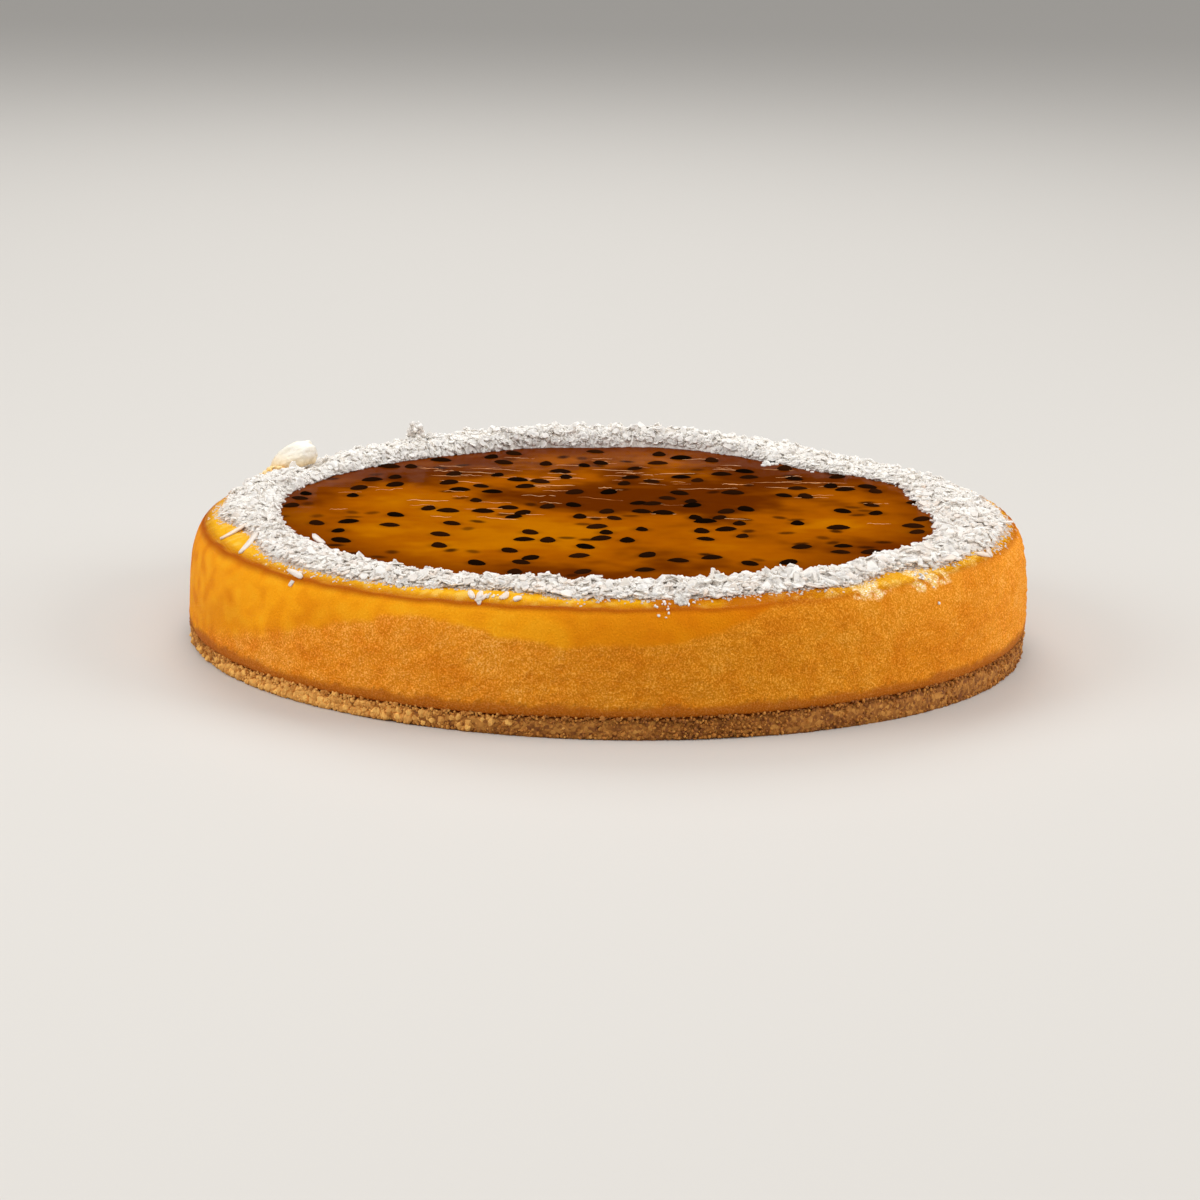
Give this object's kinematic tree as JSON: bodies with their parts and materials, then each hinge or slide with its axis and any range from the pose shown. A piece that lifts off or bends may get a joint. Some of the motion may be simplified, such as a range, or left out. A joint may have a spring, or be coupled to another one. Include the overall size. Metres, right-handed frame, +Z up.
{
  "type": "baked cheesecake",
  "caption": "Whole round baked cheesecake on a thin crumb base, topped with passion fruit jelly and a ring of coconut.",
  "frame": {"origin": "middle of the flat underside of the crumb base", "axes": "+Z up through the cake, -Y towards the front of the pictured cake, +X to its right"},
  "size_m": [0.2622, 0.261, 0.0491],
  "materials": {
    "biscuit_crumb": "pressed biscuit crumbs, matte and granular",
    "baked_custard": "golden baked custard with a browned skin, satin",
    "passion_fruit_jelly": "clear amber jelly with dark seeds, glossy",
    "dry_coconut": "dry white coconut flakes, matte",
    "soft_cream": "soft ivory cream cheese, satin"
  },
  "bodies": {
    "root": {"crumb_base": "biscuit_crumb", "baked_filling": "baked_custard", "passion_fruit_jelly": "passion_fruit_jelly", "coconut_ring": "dry_coconut", "cream_lump": "soft_cream"}
  },
  "joints": []
}
